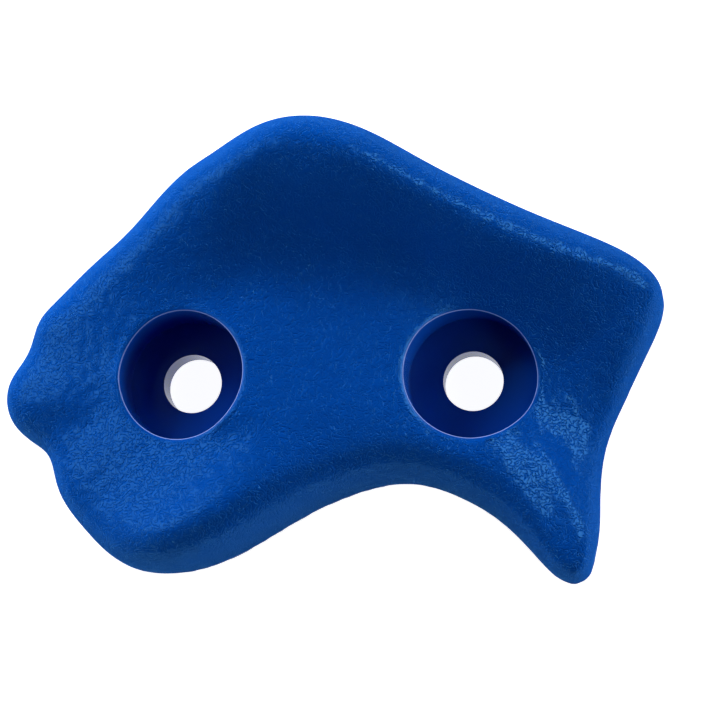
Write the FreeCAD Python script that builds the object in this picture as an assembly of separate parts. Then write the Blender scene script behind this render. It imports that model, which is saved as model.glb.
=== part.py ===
"""A small screw-on climbing hold, moulded in one piece.

The grip face is a freeform surface: a tall lip along the top, a finger scoop below it, a raised middle between the
two screw bosses, a broad lobe at lower left and a fin at lower right. Its edge rolls over into drafted side walls.
Behind the face the moulding is hollow, with one even wall, a boss round each screw hole and ribs between them.

Millimetres. +X runs along the line through both screw holes, +Y towards the lip and +Z out of the wall that the hold
is screwed to. The origin is midway between the screw holes, on the plane of the back rim.
"""
import FreeCAD, Part
import math
import os
from FreeCAD import Vector

# Overall size
hold_length = 116.9
hold_width = 79.3
lip_height = 27.0

# Screw holes and their counterbores
hole_spacing = 50.0
screw_hole_diameter = 10.5
counterbore_diameter = 22.4
seat_thickness = 4.6
mouth_radius = 0.5

# Moulding
wall_thickness = 2.8
boss_wall = 2.8
rib_thickness = 2.0
roll_reach = 6.7
roll_height = 7.4
draft_degrees = 3.0
roll_degrees = (0, 20, 40, 60, 78, 90)

# How far a cut runs past the face that it opens
overrun = 2.0

# How much of a place's own size a feature may take there
roll_height_limit_share = 0.60
room_limit_share = 0.50
thin_roll_share = 0.15

# Stations round the hold, anticlockwise from the upper left.
# The first two shares place the foot of the side wall, in hold_length and hold_width.
# The third is the height of the rim's crest in lip_height, the fourth the place on the edge of the flat as a share
# of a turn.
station_shares = [
    (-0.190, 0.486, 0.85, 0.355),
    (-0.266, 0.406, 0.72, 0.400),
    (-0.312, 0.342, 0.63, 0.427),
    (-0.370, 0.278, 0.53, 0.450),
    (-0.434, 0.192, 0.47, 0.470),
    (-0.462, 0.139, 0.44, 0.482),
    (-0.476, 0.078, 0.41, 0.492),
    (-0.502, 0.014, 0.38, 0.502),
    (-0.507, -0.056, 0.37, 0.512),
    (-0.482, -0.115, 0.36, 0.522),
    (-0.439, -0.163, 0.36, 0.533),
    (-0.426, -0.222, 0.36, 0.545),
    (-0.378, -0.327, 0.38, 0.565),
    (-0.311, -0.406, 0.47, 0.590),
    (-0.236, -0.422, 0.56, 0.620),
    (-0.143, -0.382, 0.63, 0.660),
    (-0.042, -0.296, 0.61, 0.710),
    (0.041, -0.242, 0.55, 0.765),
    (0.121, -0.223, 0.54, 0.830),
    (0.190, -0.251, 0.52, 0.885),
    (0.252, -0.305, 0.47, 0.915),
    (0.311, -0.392, 0.39, 0.930),
    (0.337, -0.428, 0.37, 0.938),
    (0.361, -0.440, 0.37, 0.944),
    (0.381, -0.426, 0.37, 0.950),
    (0.391, -0.387, 0.38, 0.957),
    (0.398, -0.332, 0.38, 0.966),
    (0.400, -0.263, 0.34, 0.976),
    (0.410, -0.143, 0.26, 0.988),
    (0.439, -0.038, 0.29, 1.000),
    (0.476, 0.077, 0.42, 0.012),
    (0.496, 0.200, 0.46, 0.025),
    (0.473, 0.249, 0.49, 0.035),
    (0.406, 0.304, 0.61, 0.055),
    (0.319, 0.353, 0.72, 0.085),
    (0.233, 0.409, 0.81, 0.120),
    (0.151, 0.470, 0.90, 0.165),
    (0.079, 0.527, 0.98, 0.210),
    (-0.009, 0.567, 1.00, 0.260),
    (-0.106, 0.549, 0.96, 0.310),
]

# Spot heights on the grip face: place in hold_length and hold_width, height in lip_height
spot_shares = [
    (-0.09, 0.30, 0.63),
    (0.03, 0.29, 0.57),
    (0.15, 0.28, 0.60),
    (0.26, 0.27, 0.67),
    (0.37, 0.22, 0.56),
    (-0.29, 0.21, 0.55),
    (-0.15, 0.18, 0.53),
    (-0.05, 0.17, 0.52),
    (0.06, 0.17, 0.49),
    (0.15, 0.18, 0.45),
    (0.26, 0.17, 0.44),
    (0.36, 0.11, 0.39),
    (0.42, 0.10, 0.40),
    (0.38, -0.06, 0.34),
    (-0.43, -0.08, 0.42),
    (-0.34, -0.15, 0.41),
    (-0.23, -0.17, 0.49),
    (-0.23, -0.30, 0.53),
    (-0.12, -0.15, 0.56),
    (-0.12, -0.28, 0.60),
    (0.00, -0.16, 0.57),
    (0.11, -0.15, 0.53),
    (0.21, -0.17, 0.50),
    (0.29, -0.24, 0.45),
    (0.34, -0.20, 0.40),
]

# Where the rim is at least this high, the face follows the roll on past its crest, so that the lip is round on top
lip_share = 0.55
past_crest_degrees = 103

# How finely the outline is looked at when the room inside it is measured
points_per_station = 4
nearest_share = 0.01

# The flat between the screw holes, an ellipse that ends inside the counterbores: how far it reaches from the
# holes, its height in lip_height and how it tilts
flat_reach = 6.0
flat_height_share = 0.552
flat_fall_right_degrees = 2.6
flat_fall_up_degrees = 3.4

# Rings of the grip face between the rim's crest and the flat, and how long their grid is smoothed
face_ring_count = 6
grid_smoothings = 4
skin_degree = 3

# The flare of a counterbore's mouth: how many stations round it, and how far its profile turns from the wall
flare_stations = 16
flare_degrees = (15.0, 37.0, 60.0)

# Cross ribs behind the face: places along the hold in hole_spacing
cross_rib_shares = (-0.5, 0.0, 0.5)

left_hole = Vector(-hole_spacing / 2, 0, 0)
right_hole = Vector(hole_spacing / 2, 0, 0)


def closed_curve(points, parameters):
    """A smooth closed curve through the points."""
    curve = Part.BSplineCurve()
    curve.interpolate(Points=points, PeriodicFlag=True, Parameters=parameters)
    return curve


def lengths_along(points):
    """Running length along a row of points, from nothing to 1."""
    total = [0.0]
    for before, after in zip(points, points[1:]):
        total.append(total[-1] + before.distanceToPoint(after))
    return [length / total[-1] for length in total]


foot = [Vector(x * hold_length, y * hold_width, 0) for x, y, _, _ in station_shares]
rim_heights = [height * lip_height for _, _, height, _ in station_shares]
spots = [Vector(x * hold_length, y * hold_width, height * lip_height) for x, y, height in spot_shares]
around = lengths_along(foot + foot[:1])
foot_curve = closed_curve(foot, around)
outline_points = foot_curve.discretize(points_per_station * len(foot))


def inward(parameter):
    """Unit vector square to the outline, towards the inside."""
    along = foot_curve.tangent(parameter)[0]
    return Vector(-along.y, along.x, 0)


def room(point, normal):
    """Radius of the largest circle inside the outline that touches it at the point: small round a tip or in the fin."""
    radii = []
    for other in outline_points:
        gap = other - point
        ahead = gap.dot(normal)
        if ahead > 0 and gap.Length > nearest_share * hold_length:
            radii.append(gap.Length ** 2 / (2 * ahead))
    return min(radii)


def wall_and_roll(point, parameter, rim, inset, turns=roll_degrees):
    """Points of one section, from the foot of the wall over the rolled edge: to the rim's crest, or as far as the
    turns go."""
    lean = math.tan(math.radians(draft_degrees))
    normal = inward(parameter)
    reach = min(roll_reach, room_limit_share * room(point, normal))
    reach = max(reach - inset, thin_roll_share * inset)
    rise = min(roll_height, roll_height_limit_share * rim)
    wall_top = rim - rise
    start = -overrun if inset else 0.0

    def on_wall(depth, height):
        return point + normal * depth + Vector(0, 0, height)

    row = [on_wall(inset + lean * start, start), on_wall(inset + lean * wall_top / 2, wall_top / 2)]
    for degrees in turns:
        turn = math.radians(degrees)
        depth = inset + lean * wall_top + reach * (1 - math.cos(turn))
        row.append(on_wall(depth, wall_top + (rise - inset) * math.sin(turn)))
    return row


def flat_level(across, up):
    """Height of the flat's plane at a place."""
    fall_right = across * math.tan(math.radians(flat_fall_right_degrees))
    fall_up = up * math.tan(math.radians(flat_fall_up_degrees))
    return flat_height_share * lip_height - fall_right - fall_up


def flat_edge(share):
    """The point on the edge of the flat after a share of a turn, anticlockwise from the right."""
    turn = 2 * math.pi * share
    across = (hole_spacing / 2 + flat_reach) * math.cos(turn)
    up = flat_reach * math.sin(turn)
    return Vector(across, up, flat_level(across, up))


def plan_grid(crest, edges):
    """Plan places of the rings between crest and flat, on a smooth grid that can't fold."""
    count = len(crest)
    grid = []
    for ring in range(face_ring_count + 1):
        share = ring / face_ring_count
        grid.append([[c.x + (e.x - c.x) * share, c.y + (e.y - c.y) * share] for c, e in zip(crest, edges)])
    for _ in range(grid_smoothings):
        for ring in range(1, face_ring_count):
            for here in range(count):
                last, following = here - 1, (here + 1) % count
                out, inside = grid[ring - 1], grid[ring + 1]
                level = grid[ring]
                round_x = (level[following][0] - level[last][0]) / 2
                round_y = (level[following][1] - level[last][1]) / 2
                in_x = (inside[here][0] - out[here][0]) / 2
                in_y = (inside[here][1] - out[here][1]) / 2
                across = in_x ** 2 + in_y ** 2
                skew = round_x * in_x + round_y * in_y
                along = round_x ** 2 + round_y ** 2
                for axis in (0, 1):
                    corner = (inside[following][axis] - inside[last][axis] - out[following][axis] + out[last][axis]) / 4
                    sides = across * (level[following][axis] + level[last][axis])
                    ends = along * (inside[here][axis] + out[here][axis])
                    level[here][axis] = (sides + ends - 2 * skew * corner) / (2 * (across + along))
    return grid


def bend(reach):
    """How a thin plate's height depends on the distance from a point that pushes it."""
    return reach ** 2 * math.log(reach) if reach > 0 else 0.0


def solved(rows):
    """The unknowns of a set of linear equations, whose right sides are the last column."""
    size = len(rows)
    for step in range(size):
        largest = max(range(step, size), key=lambda row: abs(rows[row][step]))
        rows[step], rows[largest] = rows[largest], rows[step]
        lead = rows[step]
        for row in rows[step + 1:]:
            factor = row[step] / lead[step]
            if factor:
                for column in range(step, size + 1):
                    row[column] -= factor * lead[column]
    unknowns = [0.0] * size
    for step in reversed(range(size)):
        known = sum(rows[step][column] * unknowns[column] for column in range(step + 1, size))
        unknowns[step] = (rows[step][size] - known) / rows[step][step]
    return unknowns


def plate_heights(held):
    """A smooth height over the plan that passes through all the held points, like a thin plate bent over them."""
    scale = hold_length
    places = [(point.x / scale, point.y / scale) for point in held]
    rows = []
    for (x, y), point in zip(places, held):
        pushes = [bend(math.hypot(x - other_x, y - other_y)) for other_x, other_y in places]
        rows.append(pushes + [1.0, x, y, point.z])
    rows.append([1.0] * len(places) + [0.0] * 4)
    rows.append([x for x, _ in places] + [0.0] * 4)
    rows.append([y for _, y in places] + [0.0] * 4)
    *weights, level, slope_x, slope_y = solved(rows)

    def height(across, up):
        x, y = across / scale, up / scale
        pushed = sum(w * bend(math.hypot(x - px, y - py)) for w, (px, py) in zip(weights, places))
        return level + slope_x * x + slope_y * y + pushed

    return height


stations = list(zip(foot, around, rim_heights))
outer_crest = [wall_and_roll(*station, 0.0)[-1] for station in stations]
lip_stations = [station for station in stations if station[-1] > lip_share * lip_height]
past_crest = [wall_and_roll(*station, 0.0, (past_crest_degrees,))[-1] for station in lip_stations]
flat_edges = [flat_edge(share) for _, _, _, share in station_shares]
open_edges = [edge for edge in flat_edges if abs(edge.x) < (hole_spacing - counterbore_diameter) / 2]
face_height = plate_heights(outer_crest + past_crest + open_edges + spots)


def face_rings(inset):
    """Rings of points from the foot of the wall to the flat: on the grip face where inset is 0, or that far
    inside it."""
    rings = [list(ring) for ring in zip(*[wall_and_roll(*station, inset) for station in stations])]
    crest = rings[-1]
    *face_levels, brink, flat_level_places = plan_grid(crest, flat_edges)[1:]
    for level in face_levels:
        rings.append([Vector(x, y, face_height(x, y) - inset) for x, y in level])
    for level in (brink, flat_level_places):
        rings.append([Vector(x, y, flat_level(x, y) - inset) for x, y in level])
    return rings


def skinned_solid(rings, parameters):
    """A solid with flat ends and one smooth surface that the rings shape."""
    curves = [closed_curve(ring, parameters) for ring in rings]
    spans = len(rings) - skin_degree
    surface = Part.BSplineSurface()
    surface.buildFromPolesMultsKnots(
        list(zip(*[curve.getPoles() for curve in curves])),
        curves[0].getMultiplicities(),
        [skin_degree + 1] + [1] * (spans - 1) + [skin_degree + 1],
        curves[0].getKnots(),
        [span / spans for span in range(spans + 1)],
        True,
        False,
        curves[0].Degree,
        skin_degree,
    )
    side = surface.toShape()
    rims = [edge for edge in side.Edges if edge.isClosed()]
    rims.sort(key=lambda edge: edge.BoundBox.ZMin)
    floor, top = [Part.Face(Part.Wire(edge)) for edge in rims]
    if floor.normalAt(0, 0).z > 0:
        floor.reverse()
    if top.normalAt(0, 0).z < 0:
        top.reverse()
    return Part.Solid(Part.Shell([floor, side, top]))


def upright(centre, diameter, low, high):
    """A round bar along Z."""
    return Part.makeCylinder(diameter / 2, high - low, Vector(centre.x, centre.y, low))


def rib(start, degrees, length):
    """An upright plate from a point outwards, as tall as the hold."""
    plate = Part.makeBox(length, rib_thickness, lip_height + 2 * overrun)
    plate.translate(Vector(0, -rib_thickness / 2, -overrun))
    plate.rotate(Vector(), Vector(0, 0, 1), degrees)
    plate.translate(start)
    return plate


def ribs():
    """The spine through both bosses and the cross ribs."""
    plates = [rib(Vector(-hold_length, 0, 0), 0, 2 * hold_length)]
    for share in cross_rib_shares:
        plates.append(rib(Vector(share * hole_spacing, -hold_width, 0), 90, 2 * hold_width))
    return plates


def back_pocket():
    """The hollow behind the face, left open between the bosses and the ribs."""
    hollow = skinned_solid(face_rings(wall_thickness), around)
    boss_diameter = counterbore_diameter + 2 * boss_wall
    kept = [upright(hole, boss_diameter, -2 * overrun, lip_height) for hole in (left_hole, right_hole)]
    return hollow.cut(kept + ribs())


def screw_ways():
    """Both counterbores, with the screw holes below their seats."""
    ways = []
    for hole in (left_hole, right_hole):
        ways.append(upright(hole, counterbore_diameter, seat_thickness, lip_height + overrun))
        ways.append(upright(hole, screw_hole_diameter, -overrun, seat_thickness + overrun))
    return ways


def mouth_flare(hole, block):
    """The soft flare of a counterbore's mouth, which follows the grip face round the hole."""
    bore = counterbore_diameter / 2
    shares = [step / flare_stations for step in range(flare_stations + 1)]
    first, last = math.radians(flare_degrees[0]), math.radians(flare_degrees[-1])
    profiles = []
    for share in shares[:-1]:
        turn = 2 * math.pi * share
        outwards = Vector(math.cos(turn), math.sin(turn), 0)
        place = hole + outwards * (bore + mouth_radius)
        needle = Part.makeLine(place, place + Vector(0, 0, 2 * lip_height))
        mouth = needle.common(block).BoundBox.ZMax
        profile = []
        for degrees in flare_degrees:
            lift = math.radians(degrees)
            profile.append((mouth_radius * (1 - math.cos(lift)), mouth - mouth_radius * (1 - math.sin(lift))))
        below = (profile[0][0] - mouth_radius * math.sin(first), profile[0][1] - mouth_radius * math.cos(first))
        above = (profile[-1][0] + mouth_radius * math.sin(last), profile[-1][1] + mouth_radius * math.cos(last))
        profile = [(below[0], seat_thickness + mouth_radius), below] + profile + [above, (above[0], lip_height)]
        profiles.append([hole + outwards * (bore + reach) + Vector(0, 0, height) for reach, height in profile])
    return skinned_solid([list(ring) for ring in zip(*profiles)], shares)


def hold_body():
    """The whole moulding."""
    block = skinned_solid(face_rings(0.0), around)
    flares = [mouth_flare(hole, block) for hole in (left_hole, right_hole)]
    return block.cut([back_pocket()] + screw_ways() + flares)


def main():
    os.makedirs("parts", exist_ok=True)
    body = hold_body()
    body.exportStep("parts/hold_body.step")
    box = body.optimalBoundingBox(False)
    print("hold_body", "valid", body.isValid(), "solids", len(body.Solids), "faces", len(body.Faces))
    print("box", [round(v, 2) for v in (box.XMin, box.XMax, box.YMin, box.YMax, box.ZMin, box.ZMax)])
    print("volume", round(body.Volume), "mm3")


main()
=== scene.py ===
"""Finish and stage of the climbing hold.

The moulding is taken over from the frame, relaxed to one even skin and given its leathery grain, and is then set
against a white backdrop under soft light, as a catalogue shows it. Metres, in the frame's own axes: +X along the
line through both screw holes, +Y towards the lip, +Z out of the wall.
"""

import math

import bmesh
import bpy
from bpy.props import FloatProperty, FloatVectorProperty, IntProperty, PointerProperty
from mathutils import Matrix, Vector
from mathutils.bvhtree import BVHTree


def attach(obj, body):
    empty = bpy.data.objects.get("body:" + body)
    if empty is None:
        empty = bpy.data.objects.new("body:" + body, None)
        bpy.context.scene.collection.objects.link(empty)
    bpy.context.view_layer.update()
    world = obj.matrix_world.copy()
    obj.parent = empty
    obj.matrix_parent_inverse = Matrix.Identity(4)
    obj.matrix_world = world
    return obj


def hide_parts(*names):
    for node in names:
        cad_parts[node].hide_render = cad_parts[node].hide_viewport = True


bl_info = {
    "name": "Climbing Hold",
    "version": (1, 0, 0),
    "blender": (4, 5, 0),
    "location": "3D View > Sidebar > Hold",
    "description": "Finishes a moulded climbing hold and sets it against a white backdrop",
    "category": "Object",
}

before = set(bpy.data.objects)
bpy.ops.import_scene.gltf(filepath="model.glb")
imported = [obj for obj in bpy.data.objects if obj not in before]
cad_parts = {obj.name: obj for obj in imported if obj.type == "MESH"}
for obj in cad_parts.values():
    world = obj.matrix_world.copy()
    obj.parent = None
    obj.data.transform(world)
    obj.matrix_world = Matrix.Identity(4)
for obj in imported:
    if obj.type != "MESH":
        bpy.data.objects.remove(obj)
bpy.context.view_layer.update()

MILLIMETRE = 0.001
WHITE = (1, 1, 1, 1)
UP = Vector((0, 0, 1))
TOP = 27 * MILLIMETRE

# The screw ways. The collar is the band round a mouth over which the grain fades in.
HOLE_SPACING = 50 * MILLIMETRE
HOLES = (Vector((-HOLE_SPACING / 2, 0, 0)), Vector((HOLE_SPACING / 2, 0, 0)))
SCREW_HOLE_RADIUS = 5.25 * MILLIMETRE
SEAT_HEIGHT = 4.6 * MILLIMETRE
COUNTERBORE_RADIUS = 11.2 * MILLIMETRE
MOUTH_RADIUS = 0.35 * MILLIMETRE
MOUTH_DEGREES = (75, 60, 45, 30, 15, 0)
COLLAR_RADIUS = 12.2 * MILLIMETRE
BORE_SIDES = 144

# Where the painted highlight line runs on the rounded mouth, from its inner edge outwards in mouth radii. It is a pale
# colour painted on in place of the highlight that the small round catches.
PAINTED_LINE_FROM = 0.1
PAINTED_LINE_TO = 0.4

# Mending of the mesh.
WELD_DISTANCE = 0.001 * MILLIMETRE
CUT_TOLERANCE = 0.01 * MILLIMETRE
SLIVER_LENGTH = 0.12 * MILLIMETRE
SLIVER_REACH = 0.25 * MILLIMETRE
RELAX_FACTOR = 0.5
SEAM_RELAXING = 4
FOOT_RELAXING = 6
FOOT_STEPS = 2
FLAT_STEPS = 0.6

# The leathery grain: how sharp the creases are, and the broad waves below them.
CREASE_WIDTH = 0.12
WAVES_PER_CELL = 0.3
WAVE_HEIGHT = 1.6

# How the plastic mirrors. Linear colours.
SMOOTH_ROUGHNESS = 0.25
SMOOTH_LEVEL = 0.5
SMOOTH_TINT = (0.30, 0.60, 1.0, 1)
# Pale lilac painted on each mouth's round as a highlight line.
PAINTED_HIGHLIGHT_COLOUR = (0.28, 0.40, 0.88, 1)
GRAINED_FROM = 0.2
SKIN_ROUGHNESS = 0.17
SKIN_TINT = (0.14, 0.58, 1.0)
GLANCING_COLOUR = (0.10, 0.38, 0.72, 1)
GLANCING_POWER = 24.0
PLASTIC_IOR = 1.49

# The backdrop lies just behind the hold, so that the two don't share a plane.
BACKDROP_REACH = 1.5
BACKDROP_GAP = 0.2 * MILLIMETRE
PAPER = (0.8, 0.8, 0.8, 1)
PAPER_GLOW = 0.96

# Name, degrees round from +X, degrees up from the wall, share of the power, width. Lamps light the plastic, and panels
# are only mirrored in it.
LAMPS = (
    ("lamp_right", 5, 11, 0.16, 0.18),
    ("lamp_top", 75, 24, 0.15, 0.16),
    ("lamp_upper_left", 130, 24, 0.32, 0.18),
    ("lamp_high_left", 160, 23, 0.11, 0.16),
    ("lamp_left", 180, 8, 0.03, 0.18),
    ("lamp_lower_left", 215, 15, 0.07, 0.16),
    ("lamp_lower_right", 325, 15, 0.09, 0.16),
    ("panel_left", 165, 44, 0.12, 0.30),
    ("panel_right", 25, 49, 0.27, 0.32),
)

# The camera of the photo, fitted to the edges of both through holes.
CAMERA_PLACE = (0.04600, -0.05315, 0.29574)
CAMERA_TILT = -11.117
CAMERA_SWING = -7.846
CAMERA_ROLL = -0.864
CAMERA_CLIP = 0.01
SENSOR_WIDTH = 36


class HoldSettings(bpy.types.PropertyGroup):
    """Sizes and finish of the moulding."""

    voxel: FloatProperty(
        name="Mesh Step",
        description="Width of the even mesh that the skin is rebuilt on",
        default=0.6 * MILLIMETRE,
        min=0.3 * MILLIMETRE,
        unit="LENGTH",
    )
    relaxing: IntProperty(
        name="Relaxing",
        description="How many times the grip face is smoothed",
        default=22,
        min=0,
    )
    plastic: FloatVectorProperty(
        name="Plastic",
        description="Colour of the moulded plastic",
        subtype="COLOR",
        size=3,
        min=0,
        max=1,
        default=(0.0005, 0.068, 0.42),
    )
    grain_width: FloatProperty(
        name="Grain Width",
        description="Width of one cell of the leathery grain",
        default=0.57 * MILLIMETRE,
        min=0.1 * MILLIMETRE,
        unit="LENGTH",
    )
    grain_depth: FloatProperty(
        name="Grain Depth",
        description="Depth of the grain",
        default=0.11 * MILLIMETRE,
        min=0,
        unit="LENGTH",
    )
    sheen: FloatProperty(
        name="Sheen",
        description="How much of the light the grained skin mirrors",
        default=0.036,
        min=0,
        max=1,
    )


class StageSettings(bpy.types.PropertyGroup):
    """Backdrop, lamps and camera."""

    lamp_power: FloatProperty(
        name="Lamp Power",
        description="Power that the lamps share",
        default=6.3,
        min=0,
        subtype="POWER",
    )
    reach: FloatProperty(
        name="Lamp Distance",
        description="How far the lamps stand from the hold",
        default=0.5,
        min=0.1,
        unit="LENGTH",
    )
    lens: FloatProperty(
        name="Lens",
        description="Focal length of the camera, in millimetres",
        default=85.0,
        min=1,
    )


def nodes_of(tree):
    """Short ways to add a node and a link to a node tree."""

    def add(kind, **values):
        node = tree.nodes.new(kind)
        for name, value in values.items():
            setattr(node, name, value)
        return node

    return add, tree.links.new


def empty_material(name):
    """A new material without nodes, and the short ways to add them."""
    material = bpy.data.materials.new(name)
    material.use_nodes = True
    material.node_tree.nodes.clear()
    return material, *nodes_of(material.node_tree)


def distance_from_axis(place, hole):
    """How far a place is from the axis of a screw hole."""
    return math.hypot(place.x - hole.x, place.y - hole.y)


def nearest_hole(place):
    """The screw hole that a place belongs to."""
    return min(HOLES, key=lambda hole: distance_from_axis(place, hole))


def beyond_collar(place):
    """How far a place is outside the collar of the nearest screw hole. It is negative inside the collar."""
    return distance_from_axis(place, nearest_hole(place)) - COLLAR_RADIUS


def on_outside(vertex, skin, step):
    """Whether a vertex is on the outside of the moulding, above its foot and with open air over it."""
    start = vertex.co + vertex.normal * step / 2
    return vertex.co.z > FOOT_STEPS * step and skin.ray_cast(start, UP)[0] is None


def relax(shell, verts, times, upwards=True):
    """Smooths some of a mesh's places. Without upwards they move only level with the wall."""
    for _ in range(times):
        bmesh.ops.smooth_vert(
            shell, verts=verts, factor=RELAX_FACTOR, use_axis_x=True, use_axis_y=True, use_axis_z=upwards
        )


def baked(piece, context):
    """The mesh that a piece's modifiers make, as its own mesh from here on."""
    made = bpy.data.meshes.new_from_object(piece.evaluated_get(context.evaluated_depsgraph_get()))
    piece.modifiers.clear()
    piece.data = made
    return made


def even_skin(piece, context, step):
    """Rebuilds a piece on a mesh of even steps."""
    remesh = piece.modifiers.new("even_mesh", "REMESH")
    remesh.mode = "VOXEL"
    remesh.voxel_size = step
    return baked(piece, context)


def cut_collars(piece, context):
    """Takes a round bar as wide as the collars out of the piece at both screw holes."""
    bars = bmesh.new()
    for hole in HOLES:
        bmesh.ops.create_cone(
            bars,
            cap_ends=True,
            segments=BORE_SIDES,
            radius1=COLLAR_RADIUS,
            radius2=COLLAR_RADIUS,
            depth=4 * TOP,
            matrix=Matrix.Translation(hole),
        )
    data = bpy.data.meshes.new("collar_bars")
    bars.to_mesh(data)
    bars.free()
    cutter = bpy.data.objects.new("collar_bars", data)
    context.scene.collection.objects.link(cutter)
    cut = piece.modifiers.new("collars", "BOOLEAN")
    cut.operation = "DIFFERENCE"
    cut.solver = "EXACT"
    cut.object = cutter
    made = baked(piece, context)
    bpy.data.objects.remove(cutter)
    bpy.data.meshes.remove(data)
    return made


def bore_rings(cad_skin, hole):
    """Rings of places from the grip face round a counterbore, over its rounded mouth, down its wall, over its seat
    and down the screw hole to the flat back. The second value says which of them are sharp corners."""
    turns = [2 * math.pi * side / BORE_SIDES for side in range(BORE_SIDES)]
    outwards = [Vector((math.cos(turn), math.sin(turn), 0)) for turn in turns]
    rings = []
    sharp = []

    def face_heights(reach):
        starts = [hole + out * reach + UP * 2 * TOP for out in outwards]
        return [cad_skin.ray_cast(start, -UP)[0].z for start in starts]

    def ring(reach, heights, corner=False):
        rings.append([hole + out * reach + UP * height for out, height in zip(outwards, heights)])
        sharp.append(corner)

    mouth = face_heights(COUNTERBORE_RADIUS + MOUTH_RADIUS)
    half_way = (COLLAR_RADIUS + COUNTERBORE_RADIUS + MOUTH_RADIUS) / 2
    ring(half_way, face_heights(half_way))
    for degrees in MOUTH_DEGREES:
        lift = math.radians(degrees)
        reach = COUNTERBORE_RADIUS + MOUTH_RADIUS * (1 - math.cos(lift))
        ring(reach, [height - MOUTH_RADIUS * (1 - math.sin(lift)) for height in mouth])
    ring(COUNTERBORE_RADIUS, [height - 2 * MOUTH_RADIUS for height in mouth])
    seat = [SEAT_HEIGHT] * BORE_SIDES
    back = [0.0] * BORE_SIDES
    ring(COUNTERBORE_RADIUS, seat, True)
    ring(SCREW_HOLE_RADIUS, seat, True)
    ring(SCREW_HOLE_RADIUS, back, True)
    ring(half_way, back)
    return rings, sharp


def set_bores(shell, cad_skin):
    """Closes the two round gaps with true counterbores, seats and screw holes."""
    cut_wall = [f for f in shell.faces if all(abs(beyond_collar(v.co)) < CUT_TOLERANCE for v in f.verts)]
    bmesh.ops.delete(shell, geom=cut_wall, context="FACES")
    near_cut = [v for v in shell.verts if abs(beyond_collar(v.co)) < SLIVER_REACH]
    bmesh.ops.remove_doubles(shell, verts=near_cut, dist=SLIVER_LENGTH)
    for hole in HOLES:
        places, sharp = bore_rings(cad_skin, hole)
        rings = [[shell.verts.new(place) for place in ring] for ring in places]
        for outer, inner in zip(rings, rings[1:]):
            for side in range(BORE_SIDES):
                shell.faces.new((outer[side - 1], outer[side], inner[side], inner[side - 1]))
        for ring, corner in zip(rings, sharp):
            for side in range(BORE_SIDES):
                edge = shell.edges.get((ring[side - 1], ring[side]))
                edge.smooth = not corner
        open_edges = [e for e in shell.edges if e.is_boundary and nearest_hole(e.verts[0].co) == hole]
        for above in (True, False):
            loops = [e for e in open_edges if (e.verts[0].co.z > SEAT_HEIGHT) == above]
            bmesh.ops.bridge_loops(shell, edges=loops)
    bmesh.ops.recalc_face_normals(shell, faces=shell.faces)


def mark_skin(shell, step):
    """Marks where the skin is grained, and where the painted highlight line runs on the mouths."""
    skin = BVHTree.FromBMesh(shell)
    layers = shell.verts.layers.float
    for name in ("rim", "grain"):
        layers.new(name)
    collar = COLLAR_RADIUS - COUNTERBORE_RADIUS - MOUTH_RADIUS
    for vertex in shell.verts:
        share = 1 + beyond_collar(vertex.co) / collar
        if share > 0 and on_outside(vertex, skin, step):
            vertex[layers["grain"]] = min(share, 1.0)
        round_share = (beyond_collar(vertex.co) + COLLAR_RADIUS - COUNTERBORE_RADIUS) / MOUTH_RADIUS
        if PAINTED_LINE_FROM < round_share < PAINTED_LINE_TO:
            vertex[layers["rim"]] = 1.0


class HOLD_OT_moulding(bpy.types.Operator):
    """Make the moulded hold with its grained skin"""

    bl_idname = "climbing_hold.moulding"
    bl_label = "Moulding"

    def execute(self, context):
        settings = context.scene.hold_settings
        step = settings.voxel
        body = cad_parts["hold_body"]
        data = body.data.copy()
        data.name = "hold_moulding"
        data.materials.clear()
        piece = bpy.data.objects.new("hold_moulding", data)
        context.scene.collection.objects.link(piece)

        shell = bmesh.new()
        shell.from_mesh(data)
        bmesh.ops.remove_doubles(shell, verts=shell.verts, dist=WELD_DISTANCE)
        cad_skin = BVHTree.FromBMesh(shell)
        shell.to_mesh(data)
        shell.free()

        even = even_skin(piece, context, step)
        shell = bmesh.new()
        shell.from_mesh(even)
        skin = BVHTree.FromBMesh(shell)
        face = [v for v in shell.verts if beyond_collar(v.co) > -step and on_outside(v, skin, step)]
        relax(shell, face, settings.relaxing)
        foot = [v for v in shell.verts if v.co.z < FOOT_STEPS * step]
        for vertex in foot:
            if vertex.co.z < FLAT_STEPS * step:
                vertex.co.z = 0
        relax(shell, foot, FOOT_RELAXING, upwards=False)
        shell.to_mesh(even)
        shell.free()

        made = cut_collars(piece, context)
        shell = bmesh.new()
        shell.from_mesh(made)
        set_bores(shell, cad_skin)
        seam = [v for v in shell.verts if abs(beyond_collar(v.co)) < step / 2 and v.co.z > SEAT_HEIGHT]
        relax(shell, seam, SEAM_RELAXING)
        mark_skin(shell, step)
        for polygon in shell.faces:
            polygon.smooth = True
        shell.to_mesh(made)
        shell.free()

        made.materials.append(blue_plastic(settings))
        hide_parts("hold_body")
        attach(piece, "root")
        return {"FINISHED"}


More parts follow.
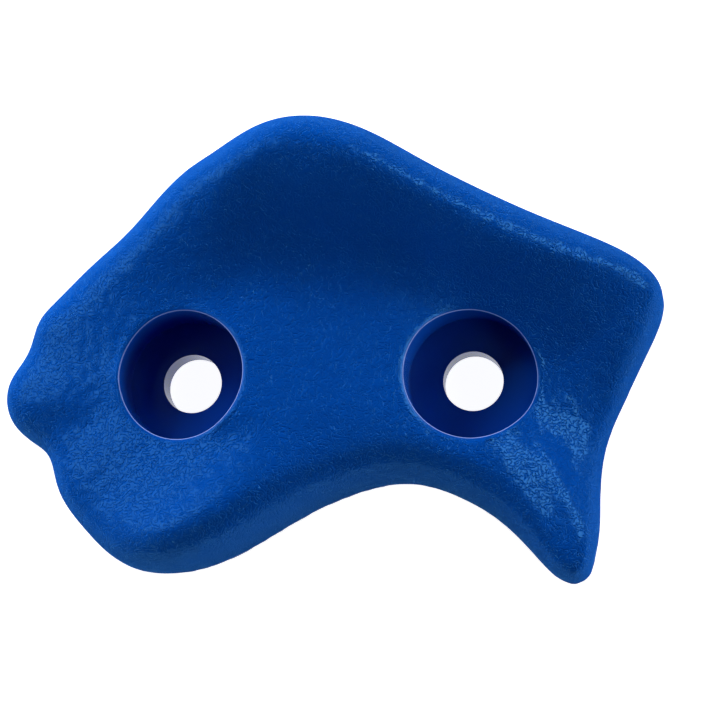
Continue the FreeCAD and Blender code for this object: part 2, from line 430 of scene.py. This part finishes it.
def leathery_grain():
    """The node group of the moulded grain: winding creases between soft pads, like fine leather."""
    tree = bpy.data.node_groups.new("leathery_grain", "ShaderNodeTree")
    tree.interface.new_socket("Vector", in_out="INPUT", socket_type="NodeSocketVector")
    tree.interface.new_socket("Width", in_out="INPUT", socket_type="NodeSocketFloat")
    tree.interface.new_socket("Height", in_out="OUTPUT", socket_type="NodeSocketFloat")
    add, link = nodes_of(tree)
    inputs = add("NodeGroupInput")
    outputs = add("NodeGroupOutput")
    per_width = add("ShaderNodeMath", operation="DIVIDE")
    per_width.inputs[0].default_value = 1.0
    link(inputs.outputs["Width"], per_width.inputs[1])
    swirl = add("ShaderNodeTexNoise")
    swirl.inputs["Detail"].default_value = 0.0
    link(inputs.outputs["Vector"], swirl.inputs["Vector"])
    link(per_width.outputs[0], swirl.inputs["Scale"])
    beside = add("ShaderNodeMath", operation="SUBTRACT")
    beside.inputs[1].default_value = 0.5
    link(swirl.outputs["Fac"], beside.inputs[0])
    from_crease = add("ShaderNodeMath", operation="ABSOLUTE")
    link(beside.outputs[0], from_crease.inputs[0])
    pads = add("ShaderNodeMapRange", interpolation_type="SMOOTHSTEP")
    pads.inputs["From Max"].default_value = CREASE_WIDTH
    link(from_crease.outputs[0], pads.inputs["Value"])
    waves = add("ShaderNodeTexNoise")
    waves.inputs["Detail"].default_value = 0.0
    link(inputs.outputs["Vector"], waves.inputs["Vector"])
    broad = add("ShaderNodeMath", operation="MULTIPLY")
    broad.inputs[1].default_value = WAVES_PER_CELL
    link(per_width.outputs[0], broad.inputs[0])
    link(broad.outputs[0], waves.inputs["Scale"])
    height = add("ShaderNodeMath", operation="MULTIPLY_ADD")
    height.inputs[1].default_value = WAVE_HEIGHT
    link(waves.outputs["Fac"], height.inputs[0])
    link(pads.outputs["Result"], height.inputs[2])
    link(height.outputs[0], outputs.inputs["Height"])
    return tree


def blue_plastic(settings):
    """Satin blue plastic, grained on the grip face and smooth elsewhere. The skin's mirrored light is added as a shader
    of its own, because it is bluer than the lamps and turns strong only at glancing angles."""
    material, add, link = empty_material("blue_plastic")
    place = add("ShaderNodeTexCoord")
    grain = add("ShaderNodeGroup", node_tree=leathery_grain())
    grain.inputs["Width"].default_value = settings.grain_width
    link(place.outputs["Object"], grain.inputs["Vector"])
    mask = add("ShaderNodeAttribute", attribute_name="grain")
    height = add("ShaderNodeMath", operation="MULTIPLY")
    link(grain.outputs["Height"], height.inputs[0])
    link(mask.outputs["Fac"], height.inputs[1])
    bump = add("ShaderNodeBump")
    bump.inputs["Strength"].default_value = 1.0
    bump.inputs["Distance"].default_value = settings.grain_depth
    link(height.outputs[0], bump.inputs["Height"])

    shader = add("ShaderNodeBsdfPrincipled")
    # Painted highlight: on the mouth's round the base colour is mixed towards a pale lilac, in place of the light that
    # the edge catches.
    rim = add("ShaderNodeAttribute", attribute_name="rim")
    colour = add("ShaderNodeMix", data_type="RGBA")
    colour.inputs["A"].default_value = (*settings.plastic, 1)
    colour.inputs["B"].default_value = PAINTED_HIGHLIGHT_COLOUR
    link(rim.outputs["Fac"], colour.inputs["Factor"])
    link(colour.outputs["Result"], shader.inputs["Base Color"])
    shader.inputs["Roughness"].default_value = SMOOTH_ROUGHNESS
    shader.inputs["IOR"].default_value = PLASTIC_IOR
    shader.inputs["Specular Tint"].default_value = SMOOTH_TINT
    link(bump.outputs["Normal"], shader.inputs["Normal"])
    on_skin = add("ShaderNodeMapRange")
    on_skin.inputs["From Max"].default_value = GRAINED_FROM
    link(mask.outputs["Fac"], on_skin.inputs["Value"])
    gloss = add("ShaderNodeMapRange")
    gloss.inputs["To Min"].default_value = SMOOTH_LEVEL
    gloss.inputs["To Max"].default_value = 0.0
    link(on_skin.outputs["Result"], gloss.inputs["Value"])
    link(gloss.outputs["Result"], shader.inputs["Specular IOR Level"])

    slant = add("ShaderNodeLayerWeight")
    slant.inputs["Blend"].default_value = 0.5
    link(bump.outputs["Normal"], slant.inputs["Normal"])
    towards_edge = add("ShaderNodeMath", operation="POWER")
    towards_edge.inputs[1].default_value = GLANCING_POWER
    link(slant.outputs["Facing"], towards_edge.inputs[0])
    tint = add("ShaderNodeMix", data_type="RGBA")
    tint.inputs["A"].default_value = (*(settings.sheen * part for part in SKIN_TINT), 1)
    tint.inputs["B"].default_value = GLANCING_COLOUR
    link(towards_edge.outputs[0], tint.inputs["Factor"])
    sheen = add("ShaderNodeBsdfGlossy")
    sheen.inputs["Roughness"].default_value = SKIN_ROUGHNESS
    link(tint.outputs["Result"], sheen.inputs["Color"])
    link(bump.outputs["Normal"], sheen.inputs["Normal"])
    on_grain = add("ShaderNodeMixShader")
    link(on_skin.outputs["Result"], on_grain.inputs["Fac"])
    link(sheen.outputs[0], on_grain.inputs[2])
    both = add("ShaderNodeAddShader")
    link(shader.outputs["BSDF"], both.inputs[0])
    link(on_grain.outputs[0], both.inputs[1])
    output = add("ShaderNodeOutputMaterial")
    link(both.outputs[0], output.inputs["Surface"])
    return material


def white_backdrop():
    """Paper that camera and mirrored rays see as plain white. Its glow lights nothing."""
    material, add, link = empty_material("white_backdrop")
    paper = add("ShaderNodeBsdfDiffuse")
    paper.inputs["Color"].default_value = PAPER
    glow = add("ShaderNodeEmission")
    glow.inputs["Color"].default_value = WHITE
    glow.inputs["Strength"].default_value = PAPER_GLOW
    rays = add("ShaderNodeLightPath")
    seen = add("ShaderNodeMath", operation="MAXIMUM")
    link(rays.outputs["Is Camera Ray"], seen.inputs[0])
    link(rays.outputs["Is Glossy Ray"], seen.inputs[1])
    shown = add("ShaderNodeMixShader")
    link(seen.outputs[0], shown.inputs["Fac"])
    link(glow.outputs[0], shown.inputs[2])
    both = add("ShaderNodeAddShader")
    link(paper.outputs[0], both.inputs[0])
    link(shown.outputs[0], both.inputs[1])
    output = add("ShaderNodeOutputMaterial")
    link(both.outputs[0], output.inputs["Surface"])
    return material


class HOLD_OT_stage(bpy.types.Operator):
    """Set the backdrop, the lamps and the camera"""

    bl_idname = "climbing_hold.stage"
    bl_label = "Stage"

    def execute(self, context):
        settings = context.scene.stage_settings
        scene = context.scene

        sheet = bmesh.new()
        bmesh.ops.create_grid(sheet, x_segments=1, y_segments=1, size=BACKDROP_REACH)
        bmesh.ops.translate(sheet, verts=sheet.verts, vec=-UP * BACKDROP_GAP)
        data = bpy.data.meshes.new("backdrop")
        sheet.to_mesh(data)
        sheet.free()
        backdrop = bpy.data.objects.new("backdrop", data)
        scene.collection.objects.link(backdrop)
        data.materials.append(white_backdrop())

        world = bpy.data.worlds.new("room")
        scene.world = world
        world.use_nodes = True
        sky = world.node_tree.nodes["Background"]
        sky.inputs["Color"].default_value = WHITE
        add, link = nodes_of(world.node_tree)
        rays = add("ShaderNodeLightPath")
        link(rays.outputs["Is Camera Ray"], sky.inputs["Strength"])

        for name, round_degrees, lift_degrees, share, size in LAMPS:
            lamp = bpy.data.lights.new(name, "AREA")
            lamp.shape = "SQUARE"
            lamp.size = size
            lamp.energy = settings.lamp_power * share
            holder = bpy.data.objects.new(name, lamp)
            holder.visible_glossy = name.startswith("panel")
            holder.visible_diffuse = not holder.visible_glossy
            lift = math.radians(lift_degrees)
            turn = math.radians(round_degrees)
            level = math.cos(lift)
            away = Vector((level * math.cos(turn), level * math.sin(turn), math.sin(lift)))
            holder.location = away * settings.reach
            holder.rotation_mode = "QUATERNION"
            holder.rotation_quaternion = (-away).to_track_quat("-Z", "Y")
            scene.collection.objects.link(holder)

        camera = bpy.data.cameras.new("camera")
        camera.lens = settings.lens
        camera.sensor_width = SENSOR_WIDTH
        camera.clip_start = CAMERA_CLIP
        holder = bpy.data.objects.new("camera", camera)
        scene.collection.objects.link(holder)
        tilt = Matrix.Rotation(math.radians(CAMERA_TILT), 3, "X")
        swing = Matrix.Rotation(math.radians(CAMERA_SWING), 3, "Y")
        roll = Matrix.Rotation(math.radians(CAMERA_ROLL), 3, "Z")
        turned = (tilt @ swing @ roll).transposed().to_4x4()
        holder.matrix_world = Matrix.Translation(CAMERA_PLACE) @ turned
        scene.camera = holder

        scene.view_settings.view_transform = "Standard"
        return {"FINISHED"}


class HOLD_PT_panel(bpy.types.Panel):
    """The hold's settings in the sidebar"""

    bl_label = "Climbing Hold"
    bl_idname = "HOLD_PT_panel"
    bl_space_type = "VIEW_3D"
    bl_region_type = "UI"
    bl_category = "Hold"

    def draw(self, context):
        layout = self.layout
        for settings in (context.scene.hold_settings, context.scene.stage_settings):
            for name in settings.__annotations__:
                layout.prop(settings, name)
        layout.operator(HOLD_OT_moulding.bl_idname)
        layout.operator(HOLD_OT_stage.bl_idname)


CLASSES = (HoldSettings, StageSettings, HOLD_OT_moulding, HOLD_OT_stage, HOLD_PT_panel)


def register():
    for one in CLASSES:
        bpy.utils.register_class(one)
    bpy.types.Scene.hold_settings = PointerProperty(type=HoldSettings)
    bpy.types.Scene.stage_settings = PointerProperty(type=StageSettings)


def unregister():
    del bpy.types.Scene.stage_settings
    del bpy.types.Scene.hold_settings
    for one in reversed(CLASSES):
        bpy.utils.unregister_class(one)


def main():
    register()
    bpy.ops.climbing_hold.moulding()
    bpy.ops.climbing_hold.stage()


if __name__ == "__main__":
    main()
